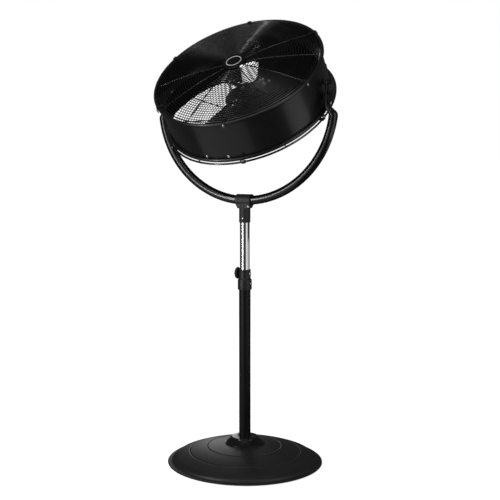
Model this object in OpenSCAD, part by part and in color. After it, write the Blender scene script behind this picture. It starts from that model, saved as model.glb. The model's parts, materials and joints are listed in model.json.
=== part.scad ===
// Pedestal drum fan: weighted round base, telescoping column, tube yoke and a tilting drum head.
// Millimetres, +Z up. The origin is the centre of the underside of the base pad.
// The fan blows towards -Y when the head is level; the tilt axis runs along X.

/* [Base] */
// Outer radius of the base rim
base_r = 256; // [250:1:270]
// Height of the top of the dome, measured on the column's axis
dome_top = 67; // [62:0.2:72]
// Radius of the dome's curve
dome_curve = 600; // [560:1:640]
// Sheet thickness of the base shell
shell_t = 1.2; // [1:0.1:2]

/* [Column] */
// Outer radius of the lower pole
lower_r = 19; // [18.5:0.1:19.5]
// Top of the lower pole
lower_top = 609; // [600:1:611]
// Outer radius of the chromed upper tube
upper_r = 16; // [15:0.1:16]
// Wall thickness of both tubes
tube_wall = 1.5; // [1.2:0.1:2]
// Bottom of the height collar
collar_bottom = 577.5; // [570:0.5:585]
// Step between the collar's skirt and its neck
collar_step = 612; // [611:0.5:614]
// Top of the height collar
collar_top = 643; // [640:0.5:646]
// Height of the height knob's axis
height_knob_z = 630.5; // [629:0.5:631]

/* [Yoke] */
// Height of the tilt axis
pivot_z = 1217.3; // [1216:0.1:1220]
// Radius of the yoke's centreline
yoke_r = 308; // [307:0.5:310]
// Height of the centre of the yoke's curve
yoke_z = 1176.5; // [1175:0.5:1178]
// Outer radius of the yoke's tube
yoke_tube_r = 14.6; // [14:0.1:15]

/* [Drum] */
// Upward tilt of the head, from level
tilt = 50.7; // [20:0.1:85]
// Outer radius of the drum's sheet
drum_r = 270; // [269:0.5:271]
// Sheet thickness of the drum
drum_t = 1; // [0.8:0.1:1.2]
// Distance from the tilt axis to the front rim
front_h = 86; // [84:0.5:88]
// Distance from the tilt axis to the rear rim
rear_h = 62; // [60:0.5:63]
// Radius of the curled rims' section
curl_r = 5.5; // [5:0.1:5.6]
// Radius of the opening in the drum's turned-in rear edge
inlet_r = 242; // [236:1:256]

/* [Grilles] */
// Rings on each grille
ring_count = 27; // [20:1:27]
// Radius of the innermost ring
ring_first_r = 44; // [43:0.5:46]
// Distance between neighbouring rings
ring_pitch = 8.4; // [8:0.1:8.4]
// Radius of the ring wire
ring_wire_r = 1.2; // [1:0.1:1.4]
// Radius of the rib wire
rib_wire_r = 1.8; // [1.5:0.1:2]
// Radial ribs on each grille
rib_count = 12; // [6:6:12]
// How far each grille bulges at its centre
grille_dome = 30; // [26:1:32]
// Radius of the rear grille's rim
rear_rim_r = 283.6; // [283:0.1:284.5]

/* [Blades] */
// Outer radius of the blades
blade_r = 254; // [240:1:256]
// Thickness of the blade sheet
blade_t = 1.5; // [1.2:0.1:2]
// Leading edge, as an angle ahead of the blade's root
lead_angle = 29; // [26:1:33]
// Angle of the trailing edge behind the root, near the boss
trail_first = 23; // [20:0.5:25]
// Sweep of the trailing edge over the radius
sweep = 40; // [30:1:42]

/* [Hidden] */

$fn = 96;
// Gap between pieces that turn or slide past each other
run_gap = 0.05;
// Gap between neighbouring pieces that don't touch
gap = 0.3;

pad_t = 3;
pan_t = 1.2;
pan_z = pad_t;
ballast_r = 180;
ballast_t = 8;
ballast_z = pan_z + pan_t;
lip_z = 5;
lip_w = 14;
cover_top_z = 87;
cover_top_r = 45;
cover_foot_r = 65.5;
groove_r = 183;
bead_r = 122;
flange_z = ballast_z + ballast_t;
flange_r = 50;
flange_t = 4;
socket_top = 60;

collar_neck_r = 19;
collar_skirt_r = 23;
stud_r = 4;
stud_end = 26.8;
knob_seat = 20.8;
bush_r = upper_r + 1.6;
skirt_screw_z = 598;
upper_top = 852;
upper_bottom = 410;
foot_bush_h = 30;

tee_top = 889;
tee_side_z = 859;
tee_neck_z = 843;
tee_bottom = 797;
tee_bolt_z = 850;
tee_screw_z = 811;
tee_stem_r = 18.5;
tee_half_w = 27;
yoke_low = yoke_z - yoke_r;

// Across the tilt axis, from the drum outwards
plate_t = 3;
tab_in = 284;
tab_out = 290;
tab_w = 36;
tab_top = 30;
tab_low = -50;
tube_start = -82;
spacer_out = tab_in - gap;
washer_in = tab_out + gap;
washer_out = washer_in + 1.5;
knob_in = washer_out + gap;
knob_back = 303.5;
knob_front = 311;
knob_tip = 291.5;
knob_half_l = 51;
knob_half_w = 6;
knob_hub_r = 15;
knob_hub_end = knob_back + 2;
knob_turn = 11;
pivot_bolt_r = 5;
pivot_bolt_end = 304.5;

grille_r = ring_first_r + ring_pitch * (ring_count - 1);
grille_curve = (pow(grille_r, 2) + pow(grille_dome, 2)) / (2 * grille_dome);
front_grille_h = front_h - 2;
rear_grille_h = -(rear_h + 5);
rear_curve = (pow(rear_rim_r, 2) + pow(grille_dome, 2)) / (2 * grille_dome);
rib_first = 15;
clip_step = 60;
front_clip_first = 17;
rear_clip_first = 13;
badge_r = 38;

motor_r = 70;
motor_front = -10;
motor_back = -50;
motor_mid = -30;
bell_t = 2.5;
bearing_r = 16;
bearing_w = 9;
shaft_r = 6;
core_top = -22;
core_bottom = -38;
bar_x = 28;
bar_w = 5;
bar_d = 11.4;
bar_bolt_y = 52;
box_front = motor_back - bar_d;
box_back = box_front - 22;
box_w = 96;
box_l = 104;
lid_t = 2;
switch_r = 3;
switch_end = -108;
speed_knob_z = -100.5;

hub_r = 30;
root_r = 60;
arm_end_r = 92;
blade_angles = [27.5, -92.5, -212.5];

// Places a child whose Z axis is the fan's axis, pointing out of the front, with X along the tilt axis.
module in_head() {
    translate([0, 0, pivot_z])
        rotate([90 - tilt, 0, 0])
            children();
}

// A bar whose axis is X, from x0 to x1.
module along_x(x0, x1, r) {
    translate([x0, 0, 0])
        rotate([0, 90, 0])
            cylinder(r = r, h = x1 - x0);
}

// A round tube or ring on the Z axis.
module ring(outer, inner, z0, z1) {
    translate([0, 0, z0])
        difference() {
            cylinder(r = outer, h = z1 - z0);
            translate([0, 0, -1])
                cylinder(r = inner, h = z1 - z0 + 2);
        }
}

// A pan head on the Z axis, from z = 0 upwards.
module pan_head(r, h) {
    cylinder(r = r, h = h * 0.6);
    translate([0, 0, h * 0.6])
        cylinder(r1 = r, r2 = r * 0.7, h = h * 0.4);
}

// ---------------------------------------------------------------- base

module base_pad() {
    color("#161616")
        cylinder(r = base_r - lip_w, h = pad_t);
}

module base_pan() {
    color("#1c1c1d")
        translate([0, 0, pan_z])
            cylinder(r = base_r - 4, h = pan_t);
}

module base_ballast() {
    color("#4a4744")
        ring(ballast_r, 8, ballast_z, ballast_z + ballast_t);
}

// Height of the dome's outer surface at a radius.
function dome_z(r) = dome_top - dome_curve + sqrt(pow(dome_curve, 2) - pow(r, 2));

module dome_slice(r) {
    translate([0, dome_top - dome_curve])
        circle(r = r, $fn = 400);
}

module base_shell() {
    lip_in = base_r - lip_w;
    wall_r = lip_in - 17;
    color("#232324") {
        rotate_extrude($fn = 180) {
            difference() {
                intersection() {
                    difference() {
                        dome_slice(dome_curve);
                        dome_slice(dome_curve - shell_t);
                    }
                    translate([lower_r + 1, 0])
                        square([wall_r + 0.5 - lower_r - 1, dome_top]);
                }
                translate([groove_r, dome_z(groove_r) + 0.4])
                    circle(r = 1.1);
            }
            translate([bead_r, dome_z(bead_r) - 0.4])
                circle(r = 1.6);
        }
        rotate_extrude($fn = 180)
            polygon([
                [wall_r, dome_z(wall_r)],
                [lip_in - 5, lip_z + 9.6],
                [lip_in - 0.5, lip_z + 2.8],
                [base_r - 2, lip_z + 1],
                [base_r, lip_z - 0.6],
                [base_r, pan_z + pan_t / 2],
                [base_r - shell_t, pan_z + pan_t / 2],
                [base_r - shell_t, lip_z - 1],
                [lip_in - 1.8, lip_z + 1.4],
                [lip_in - 6.2, lip_z + 8.6],
                [wall_r, dome_z(wall_r) - shell_t]
            ]);
    }
}

module base_cover() {
    wall = 2;
    foot_z = dome_z(cover_foot_r) + 0.2;
    shoulder = 4;
    color("#141415")
        rotate_extrude()
            polygon([
                [lower_r + gap, cover_top_z + 1.2],
                [cover_top_r - shoulder, cover_top_z],
                [cover_top_r - 1, cover_top_z - 1.2],
                [cover_top_r + 0.6, cover_top_z - 3.4],
                [cover_foot_r - 1.5, foot_z + 2.6],
                [cover_foot_r, foot_z + 1.2],
                [cover_foot_r, foot_z],
                [cover_foot_r - wall * 1.5, foot_z + 0.4],
                [cover_top_r - wall, cover_top_z - 4],
                [lower_r + gap, cover_top_z - 3]
            ]);
}

module pole_flange() {
    color("#3a3a3c") {
        ring(flange_r, lower_r, flange_z, flange_z + flange_t);
        ring(lower_r + 3, lower_r, flange_z + flange_t, socket_top);
    }
}

module flange_bolts() {
    color("#8d8f92")
        for (a = [45:90:315])
            rotate([0, 0, a])
                translate([36, 0, flange_z + flange_t]) {
                    cylinder(r = 6.5, h = 5, $fn = 6);
                    cylinder(r = 4, h = 8);
                }
}

// ---------------------------------------------------------------- column

module lower_pole() {
    color("#1b1b1c")
        ring(lower_r, lower_r - tube_wall, flange_z, lower_top);
}

// The collar sits on the lower pole's end, and its neck guides the upper tube.
module height_collar() {
    color("#202021")
        difference() {
            union() {
                translate([0, 0, collar_bottom])
                    cylinder(r = collar_skirt_r, h = collar_step - collar_bottom - 2);
                translate([0, 0, collar_step - 2])
                    cylinder(r1 = collar_skirt_r, r2 = collar_skirt_r - 2, h = 2);
                translate([0, 0, collar_step])
                    cylinder(r = collar_neck_r, h = collar_top - collar_step);
                translate([0, 0, height_knob_z])
                    along_x(-knob_seat + gap, -12, 8);
            }
            translate([0, 0, collar_bottom - 1])
                cylinder(r = lower_r, h = lower_top - collar_bottom + 1);
            translate([0, 0, lower_top - 1])
                cylinder(r = bush_r, h = collar_top - lower_top + 2);
            translate([0, 0, height_knob_z])
                along_x(-knob_seat - 10, -10, stud_r + run_gap);
        }
}

module collar_screws() {
    color("#a9abae") {
        translate([0, 0, height_knob_z]) {
            translate([collar_neck_r, 0, 0])
                rotate([0, 90, 0])
                    pan_head(4.6, 3.4);
        }
        translate([collar_skirt_r, 0, skirt_screw_z])
            rotate([0, 90, 0])
                pan_head(4, 3);
    }
}

// Two-part liner that turns in the collar's neck and guides the upper tube, open where the stud passes.
module collar_bushing() {
    window = 6;
    color("#333335") {
        ring(bush_r - run_gap, upper_r + run_gap, lower_top + gap, height_knob_z - window);
        ring(bush_r - run_gap, upper_r + run_gap, height_knob_z + window, collar_top - 1);
    }
}

// The knob's axis runs along -X. Its rim has eight scallops.
module height_knob() {
    back_h = 3;
    rim_h = 4.5;
    color("#1a1a1b")
        translate([0, 0, height_knob_z])
            rotate([0, -90, 0])
                difference() {
                    union() {
                        translate([0, 0, knob_seat])
                            cylinder(r1 = 17, r2 = 19.5, h = back_h);
                        translate([0, 0, knob_seat + back_h])
                            cylinder(r = 19.5, h = rim_h);
                        translate([0, 0, knob_seat + back_h + rim_h])
                            cylinder(r1 = 19.5, r2 = 13, h = 3.2);
                    }
                    for (a = [0:45:315])
                        rotate([0, 0, a + 22.5])
                            translate([22, 0, knob_seat - 2])
                                cylinder(r = 4.4, h = 16);
                    translate([0, 0, knob_seat - 2])
                        cylinder(r = stud_r, h = 8);
                }
}

module height_stud() {
    color("#b5b7ba")
        translate([0, 0, height_knob_z])
            along_x(-stud_end, -upper_r - gap, stud_r);
}

module upper_tube() {
    color("#d9dadc")
        ring(upper_r, upper_r - tube_wall, upper_bottom, upper_top);
}

// Plastic sleeve fixed on the upper tube's lower end, running inside the lower pole.
module foot_bushing() {
    color("#2e2e30")
        ring(lower_r - tube_wall - run_gap, upper_r, upper_bottom, upper_bottom + foot_bush_h);
}

// ---------------------------------------------------------------- yoke

module yoke_core(r) {
    translate([0, 0, yoke_z])
        rotate([90, 0, 0])
            rotate_extrude()
                translate([yoke_r, 0])
                    circle(r = r);
}

module tee_casting() {
    saddle_r = tee_top - yoke_low;
    color("#2b2b2a")
        difference() {
            union() {
                translate([0, 0, yoke_low])
                    intersection() {
                        along_x(-tee_half_w, tee_half_w, saddle_r);
                        translate([-tee_half_w, -saddle_r, tee_side_z - yoke_low])
                            cube([2 * tee_half_w, 2 * saddle_r, 2 * saddle_r]);
                    }
                translate([0, tee_stem_r - 1, 0])
                    rotate([90, 0, 0])
                        linear_extrude(2 * tee_stem_r - 2)
                            polygon([
                                [-tee_half_w, tee_side_z],
                                [tee_half_w, tee_side_z],
                                [tee_stem_r - 0.5, tee_neck_z],
                                [-tee_stem_r + 0.5, tee_neck_z]
                            ]);
                translate([0, 0, tee_bottom])
                    cylinder(r = tee_stem_r, h = tee_side_z - tee_bottom);
            }
            yoke_core(yoke_tube_r);
            translate([0, 0, tee_bottom - 1])
                cylinder(r = upper_r, h = upper_top - tee_bottom + 1);
        }
}

// One bolt across the saddle and one grub screw low on the stem.
module tee_fasteners() {
    color("#b8babd") {
        translate([tee_half_w - 5, -tee_stem_r + 0.6, tee_bolt_z])
            rotate([90, 0, 0])
                pan_head(4.2, 3.4);
        rotate([0, 0, -85])
            translate([tee_stem_r + 0.05, 0, tee_screw_z])
                rotate([0, 90, 0])
                    pan_head(3, 1.8);
    }
}

// Flattened end of the yoke's tube, on the +X side.
module yoke_end() {
    foot_z = pivot_z + tube_start;
    drop = asin((yoke_z - foot_z) / yoke_r);
    translate([tab_in, -tab_w / 2, pivot_z + tab_low])
        cube([tab_out - tab_in, tab_w, tab_top - tab_w / 2 - tab_low]);
    translate([0, 0, pivot_z + tab_top - tab_w / 2])
        along_x(tab_in, tab_out, tab_w / 2);
    hull() {
        translate([tab_in - 0.1, -tab_w / 2 - 0.1, pivot_z + tab_low])
            cube([tab_out - tab_in + 0.2, tab_w + 0.2, 1]);
        translate([yoke_r * cos(drop), 0, foot_z])
            rotate([0, drop, 0])
                translate([0, 0, -2])
                    cylinder(r = (yoke_tube_r + 0.1) / cos(180 / 32), h = 2, $fn = 32);
    }
}

module yoke() {
    drop = asin((yoke_z - pivot_z - tube_start) / yoke_r);
    color("#1d1d1e")
        difference() {
            union() {
                translate([0, 0, yoke_z])
                    rotate([90, 0, 0])
                        rotate([0, 0, 180 + drop])
                            rotate_extrude(angle = 180 - 2 * drop)
                                translate([yoke_r, 0])
                                    difference() {
                                        circle(r = yoke_tube_r);
                                        circle(r = yoke_tube_r - tube_wall);
                                    }
                yoke_end();
                mirror([1, 0, 0])
                    yoke_end();
            }
            translate([0, 0, pivot_z]) {
                along_x(tab_in - 5, tab_out + 5, pivot_bolt_r + run_gap);
                along_x(-tab_out - 5, -tab_in + 5, pivot_bolt_r + run_gap);
            }
        }
}

// ---------------------------------------------------------------- tilt pivots

module both_sides() {
    children();
    mirror([1, 0, 0])
        children();
}

// Doubler plates, curved to the drum's outside.
module pivot_plates() {
    size = 46;
    color("#242426")
        in_head()
            both_sides()
                difference() {
                    intersection() {
                        ring(drum_r + plate_t, drum_r, -size / 2, size / 2);
                        translate([0, -size / 2, -size])
                            cube([drum_r + 20, size, 2 * size]);
                    }
                    along_x(drum_r - 20, drum_r + 20, pivot_bolt_r);
                }
}

module pivot_spacers() {
    color("#2a2a2c")
        in_head()
            both_sides()
                difference() {
                    along_x(drum_r + plate_t, spacer_out, 17);
                    along_x(drum_r - 2, tab_in + 2, pivot_bolt_r);
                }
}

module pivot_bolts() {
    color("#9fa1a4")
        in_head()
            both_sides() {
                along_x(drum_r - drum_t - 4, drum_r - drum_t - 1, 12);
                along_x(drum_r - drum_t - 1, pivot_bolt_end, pivot_bolt_r);
            }
}

module tilt_washers() {
    color("#5c5c60")
        in_head()
            both_sides()
                difference() {
                    along_x(washer_in, washer_out, 15);
                    along_x(washer_in - 1, washer_out + 1, pivot_bolt_r);
                }
}

// Radius of an arc from its half chord and its height.
function arc_r(half_chord, sag) = (pow(half_chord, 2) + pow(sag, 2)) / (2 * sag);

// A wing knob whose bar curves outwards like a crescent. Its hub has ribs all round.
module wing_knob() {
    back_r = arc_r(knob_half_l, knob_back - knob_tip);
    front_r = arc_r(knob_half_l, knob_front - knob_tip);
    side_r = arc_r(knob_half_l, knob_half_w);
    color("#19191a")
        difference() {
            union() {
                intersection() {
                    linear_extrude(3 * knob_half_w, center = true)
                        difference() {
                            translate([knob_front - front_r, 0])
                                circle(r = front_r, $fn = 180);
                            translate([knob_back - back_r, 0])
                                circle(r = back_r, $fn = 180);
                        }
                    along_x(knob_tip - 1, knob_front + 1, knob_half_l);
                    rotate([0, 90, 0])
                        linear_extrude(knob_front + 10)
                            intersection() {
                                translate([knob_half_w - side_r, 0])
                                    circle(r = side_r, $fn = 360);
                                translate([side_r - knob_half_w, 0])
                                    circle(r = side_r, $fn = 360);
                            }
                }
                along_x(knob_in, knob_hub_end, knob_hub_r);
                for (a = [0:30:330])
                    rotate([a, 0, 0])
                        translate([0, knob_hub_r, 0])
                            along_x(knob_in, knob_hub_end - 1, 1.6);
            }
            along_x(knob_in - 1, pivot_bolt_end + 0.2, pivot_bolt_r + run_gap);
        }
}

// At rest the wings stand nearly along the yoke's arms.
module tilt_knob_right() {
    translate([0, 0, pivot_z])
        rotate([90 + knob_turn, 0, 0])
            wing_knob();
}

module tilt_knob_left() {
    mirror([1, 0, 0])
        tilt_knob_right();
}

// ---------------------------------------------------------------- drum

module curled_rim(h) {
    translate([drum_r - drum_t + curl_r, h])
        difference() {
            circle(r = curl_r);
            circle(r = curl_r - drum_t);
        }
}

module drum() {
    color("#1b1b1c")
        in_head()
            difference() {
                rotate_extrude($fn = 240) {
                    translate([drum_r - drum_t, -rear_h + curl_r])
                        square([drum_t, front_h + rear_h - 2 * curl_r]);
                    curled_rim(front_h - curl_r);
                    curled_rim(-rear_h + curl_r);
                    translate([inlet_r, -rear_h - 1.2])
                        square([drum_r - drum_t + curl_r - inlet_r, 1.4]);
                }
                along_x(drum_r - 10, drum_r + 10, pivot_bolt_r);
                along_x(-drum_r - 10, -drum_r + 10, pivot_bolt_r);
            }
}

// The rings of a grille, on a shallow dome that bulges along +Z from z = 0, with eight-sided wire.
module grille_rings(rim_r, curve, count, first, pitch) {
    for (i = [0:count - 1])
        translate([first + pitch * i, curve_z(first + pitch * i, rim_r, curve)])
            circle(r = ring_wire_r, $fn = 8);
}

function curve_z(r, rim_r, curve) = sqrt(pow(curve, 2) - pow(r, 2)) - sqrt(pow(curve, 2) - pow(rim_r, 2));

// The radial ribs lie just under the rings and follow the same dome.
module grille_ribs(rim_r, curve, from_r) {
    rib_curve = curve - ring_wire_r - rib_wire_r - run_gap;
    start = asin(from_r / curve);
    sweep_angle = asin((rim_r - 4) / curve) - start;
    for (i = [0:rib_count - 1])
        rotate([0, 0, -rib_first - i * 360 / rib_count])
            translate([0, 0, -sqrt(pow(curve, 2) - pow(rim_r, 2))])
                rotate([90, 0, 0])
                    rotate([0, 0, 90 - start - sweep_angle])
                        rotate_extrude(angle = sweep_angle)
                            translate([rib_curve, 0])
                                circle(r = rib_wire_r, $fn = 24);
}

module front_grille() {
    color("#222223")
        in_head()
            translate([0, 0, front_grille_h]) {
                rotate_extrude($fn = 180) {
                    grille_rings(grille_r, grille_curve, ring_count - 1, ring_first_r, ring_pitch);
                    translate([grille_r, 0])
                        circle(r = 2.2, $fn = 24);
                }
                grille_ribs(grille_r, grille_curve, badge_r - 2);
            }
}

module front_badge() {
    crown = curve_z(badge_r, grille_r, grille_curve);
    color("#0e0e0f")
        in_head()
            translate([0, 0, front_grille_h + crown + ring_wire_r]) {
                cylinder(r = badge_r, h = 1.6);
                translate([0, 0, 1.6])
                    cylinder(r1 = badge_r, r2 = badge_r - 3, h = 1.8);
            }
}

// Six steel clips fold over the front rim and hold the grille's rim wire.
module front_clips() {
    w = 12;
    t = 1.2;
    top = front_h + 0.3;
    color("#2c2c2e")
        in_head()
            for (i = [0:5])
                rotate([0, 0, -front_clip_first - i * clip_step]) {
                    translate([grille_r - 5, -w / 2, top])
                        cube([drum_r + 2 * curl_r - grille_r + 4.6, w, t]);
                    translate([drum_r + 2 * curl_r - drum_t + 0.3, -w / 2, front_h - 15])
                        cube([t, w, 15.3 + t]);
                }
}

module front_screws() {
    seat = drum_r + 2 * curl_r - drum_t + 1.5;
    color("#b4b6b9")
        in_head()
            for (i = [0:5])
                rotate([0, 0, -front_clip_first - i * clip_step])
                    translate([seat, 0, front_h - 8])
                        rotate([0, 90, 0])
                            pan_head(3.6, 3);
}

module rear_grille() {
    color("#222223")
        in_head()
            translate([0, 0, rear_grille_h])
                mirror([0, 0, 1]) {
                    rotate_extrude($fn = 180) {
                        grille_rings(rear_rim_r, rear_curve, ring_count, ring_first_r, ring_pitch);
                        translate([rear_rim_r, 0])
                            circle(r = 2.4, $fn = 24);
                    }
                    grille_ribs(rear_rim_r, rear_curve, badge_r - 2);
                }
}

module rear_plate() {
    crown = curve_z(badge_r, rear_rim_r, rear_curve);
    color("#161617")
        in_head()
            translate([0, 0, rear_grille_h])
                mirror([0, 0, 1])
                    ring(badge_r, switch_r + 1.5, crown + ring_wire_r, crown + ring_wire_r + 1.5);
}

// Six clips hold the rear grille's rim wire against the drum's rear rim.
module rear_clips() {
    w = 12;
    t = 1.2;
    back = rear_grille_h - 2.4 - 0.3;
    color("#2c2c2e")
        in_head()
            for (i = [0:5])
                rotate([0, 0, -rear_clip_first - i * clip_step]) {
                    translate([drum_r + 2, -w / 2, back - t])
                        cube([rear_rim_r + 4.4 - drum_r - 2, w, t]);
                    translate([rear_rim_r + 2.8, -w / 2, back - t])
                        cube([t, w, 16]);
                }
}

module rear_screws() {
    color("#b4b6b9")
        in_head()
            for (i = [0:5])
                rotate([0, 0, -rear_clip_first - i * clip_step])
                    translate([rear_rim_r + 4, 0, -rear_h + 4])
                        rotate([0, 90, 0])
                            pan_head(3.6, 3);
}

// ---------------------------------------------------------------- motor

// Two flat bars span the drum behind the motor, with feet that follow the drum's inside.
module motor_bars() {
    reach = sqrt(pow(drum_r - drum_t, 2) - pow(bar_x + bar_w / 2, 2)) - 0.2;
    foot_w = 22;
    color("#232325")
        in_head()
            both_sides()
                difference() {
                    union() {
                        translate([bar_x - bar_w / 2, -reach, motor_back - bar_d])
                            cube([bar_w, 2 * reach, bar_d]);
                        intersection() {
                            ring(drum_r - drum_t, drum_r - drum_t - 3, motor_back - bar_d, motor_back + 10);
                            translate([bar_x - bar_w / 2, -drum_r, -100])
                                cube([foot_w, 2 * drum_r, 200]);
                        }
                    }
                    for (y = [-bar_bolt_y, bar_bolt_y])
                        translate([bar_x, y, motor_back - bar_d - 1])
                            cylinder(r = 1.6, h = bar_d + 2);
                }
}

// Screws from outside the drum into the bars' feet.
module bar_bolts() {
    foot_x = bar_x + 10;
    color("#9a9c9f")
        in_head()
            both_sides()
                for (s = [-1, 1])
                    rotate([0, 0, s * (90 - asin(foot_x / drum_r))])
                        translate([drum_r + 0.02, 0, motor_back + 4.5])
                            rotate([0, 90, 0])
                                pan_head(4.5, 3);
}

// Half a motor casing: a shallow cup with a bearing seat, open at z = 0, closed at z = depth.
module bell(depth) {
    vents = 8;
    difference() {
        rotate_extrude()
            polygon([
                [motor_r, 0],
                [motor_r, depth - 6],
                [motor_r - 6, depth],
                [shaft_r + 2, depth],
                [shaft_r + 2, depth - bell_t],
                [bearing_r, depth - bell_t],
                [bearing_r, depth - bell_t - bearing_w],
                [bearing_r + 3, depth - bell_t - bearing_w],
                [bearing_r + 3, depth - bell_t],
                [motor_r - 7, depth - bell_t],
                [motor_r - bell_t, depth - 7],
                [motor_r - bell_t, 0]
            ]);
        for (i = [0:vents - 1])
            rotate([0, 0, i * 360 / vents])
                translate([28, -5, depth - bell_t - 1])
                    cube([24, 10, bell_t + 2]);
    }
}

module motor_front_bell() {
    color("#2a2a2b")
        in_head()
            translate([0, 0, motor_mid])
                bell(motor_front - motor_mid);
}

module motor_rear_bell() {
    color("#2a2a2b")
        in_head()
            translate([0, 0, motor_mid])
                mirror([0, 0, 1])
                    bell(motor_mid - motor_back);
}

// Screws through the bars into the motor's rear end.
module motor_bolts() {
    bolt_r = 1.6;
    color("#8f9194")
        in_head()
            both_sides()
                for (y = [-bar_bolt_y, bar_bolt_y])
                    translate([bar_x, y, 0]) {
                        translate([0, 0, motor_back - bar_d - 3])
                            cylinder(r = 3.4, h = 3, $fn = 6);
                        translate([0, 0, motor_back - bar_d])
                            cylinder(r = bolt_r, h = bar_d);
                    }
}

module stator_core() {
    slots = 12;
    bore = 36;
    color("#6d6e72")
        in_head()
            difference() {
                ring(motor_r - bell_t, bore, core_bottom, core_top);
                for (i = [0:slots - 1])
                    rotate([0, 0, i * 360 / slots])
                        translate([bore + 3, -3.5, core_bottom - 1])
                            cube([15, 7, core_top - core_bottom + 2]);
            }
}

module stator_windings() {
    color("#a0552a")
        in_head() {
            ring(55, 39, core_top, core_top + 6);
            ring(55, 39, core_bottom - 6, core_bottom);
        }
}

module front_bearing() {
    top = motor_front - bell_t;
    color("#c2c4c7")
        in_head()
            ring(bearing_r, shaft_r + run_gap, top - bearing_w, top);
}

module rear_bearing() {
    low = motor_back + bell_t;
    color("#c2c4c7")
        in_head()
            ring(bearing_r, shaft_r + run_gap, low, low + bearing_w);
}

// ---------------------------------------------------------------- rotor

module shaft() {
    color("#c9cbce")
        in_head()
            translate([0, 0, motor_back + 0.5])
                cylinder(r = shaft_r, h = 18 - motor_back);
}

module rotor_core() {
    color("#77797d")
        in_head() {
            ring(35.5, shaft_r, core_bottom, core_top);
            ring(34, 24, core_top, core_top + 0.8);
            ring(34, 24, core_bottom - 0.8, core_bottom);
        }
}

// Angle, measured the way the fan turns, of the blade's trailing edge behind its root.
function trail_angle(r) = trail_first + sweep * ln(r / 53);

function lead_h(r) = -1 - 23 * (r - root_r) / (blade_r - root_r);

function trail_h(r) = 34 + 26 * (r - root_r) / (blade_r - root_r);

// Height of the blade's middle surface at a radius and an angle.
function blade_h(r, a) =
    let (v = (lead_angle - a) / (lead_angle + trail_angle(r)))
    lead_h(r) + (trail_h(r) - lead_h(r)) * (0.75 * v + 0.25 * v * v);

function blade_point(r, a, lift) = [r * cos(a), -r * sin(a), blade_h(r, a) + lift];

// A sheet that follows the blade's surface between two radii, from angle a0(r) to a1(r), low to high.
module sheet(grid, low, high) {
    rows = len(grid);
    cols = len(grid[0]);
    n = rows * cols;
    pts = [
        for (lift = [low, high])
            for (row = grid)
                for (p = row)
                    blade_point(p[0], p[1], lift)
    ];
    skin = [
        for (i = [0:rows - 2])
            for (j = [0:cols - 2])
                let (a = i * cols + j, b = a + 1, c = a + cols, d = c + 1)
                for (f = [[a, b, d], [a, d, c], [a + n, d + n, b + n], [a + n, c + n, d + n]])
                    f
    ];
    outline = concat(
        [for (j = [0:cols - 1]) j],
        [for (i = [1:rows - 1]) i * cols + cols - 1],
        [for (j = [cols - 2:-1:0]) (rows - 1) * cols + j],
        [for (i = [rows - 2:-1:1]) i * cols]
    );
    m = len(outline);
    edge = [
        for (k = [0:m - 1])
            let (a = outline[k], b = outline[(k + 1) % m])
            for (f = [[a, b + n, b], [a, a + n, b + n]])
                f
    ];
    polyhedron(points = pts, faces = concat(skin, edge));
}

// The blade's corners are rounded by drawing its edges in near the tip and the root.
function corner(u, size) = size * (1 - sqrt(max(0, 1 - pow(max(0, (u - 1 + size) / size), 2))));

module blade(angle) {
    rows = 14;
    cols = 16;
    grid = [
        for (i = [0:rows])
            let (u = i / rows)
            let (r = root_r + (blade_r - root_r) * u)
            let (tuck = corner(u, 0.12) + corner(1 - u, 0.1))
            let (a0 = -trail_angle(r) * (1 - tuck))
            let (a1 = lead_angle * (1 - 0.5 * tuck))
            [for (j = [0:cols]) [r, a0 + (a1 - a0) * j / cols]]
    ];
    color("#171718")
        in_head()
            rotate([0, 0, angle])
                sheet(grid, -blade_t / 2, blade_t / 2);
}

module blade_1() {
    blade(blade_angles[0]);
}

module blade_2() {
    blade(blade_angles[1]);
}

module blade_3() {
    blade(blade_angles[2]);
}

// Boss with three flat arms that lie just behind the blades' roots.
module hub_spider() {
    arm_t = 2.5;
    arm_w = 26;
    mid_r = 78;
    pitch = 22.5;
    arm_h = blade_h(mid_r, 0) - blade_t / 2 - arm_t - 1.6;
    color("#2f2f31")
        in_head()
            difference() {
                union() {
                    translate([0, 0, -6])
                        cylinder(r = hub_r, h = 14);
                    translate([0, 0, 8])
                        cylinder(r = 11, h = 9);
                    for (a = blade_angles)
                        rotate([0, 0, a])
                            translate([mid_r, 0, arm_h])
                                rotate([pitch, 7, 0])
                                    translate([hub_r - 8 - mid_r, -arm_w / 2, 0])
                                        cube([arm_end_r - hub_r + 8, arm_w, arm_t]);
                }
                translate([0, 0, -40])
                    cylinder(r = shaft_r, h = 80);
                translate([0, 0, 12])
                    along_x(0, 20, 2);
            }
}

module hub_screw() {
    color("#8a8c8f")
        in_head()
            translate([0, 0, 12])
                along_x(shaft_r + 0.05, 12.5, 1.95);
}

// Slope of the blade's surface away from the axis, and slope around it.
function slope_out(r, a) = (blade_h(r + 1, a) - blade_h(r - 1, a)) / 2;

function slope_ahead(r, a) = (blade_h(r, a + 1) - blade_h(r, a - 1)) * 90 / (PI * r);

module blade_rivets() {
    spots = [[68, -6], [68, 6], [84, 0]];
    color("#a5a7aa")
        in_head()
            for (a = blade_angles)
                rotate([0, 0, a])
                    for (s = spots)
                        translate(blade_point(s[0], s[1], 0))
                            rotate([0, 0, -s[1]])
                                rotate([-atan(slope_ahead(s[0], s[1])), -atan(slope_out(s[0], s[1])), 0])
                                    translate([0, 0, blade_t / 2 + 0.15])
                                        cylinder(r1 = 3.6, r2 = 2.4, h = 2);
}

// ---------------------------------------------------------------- controls

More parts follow.
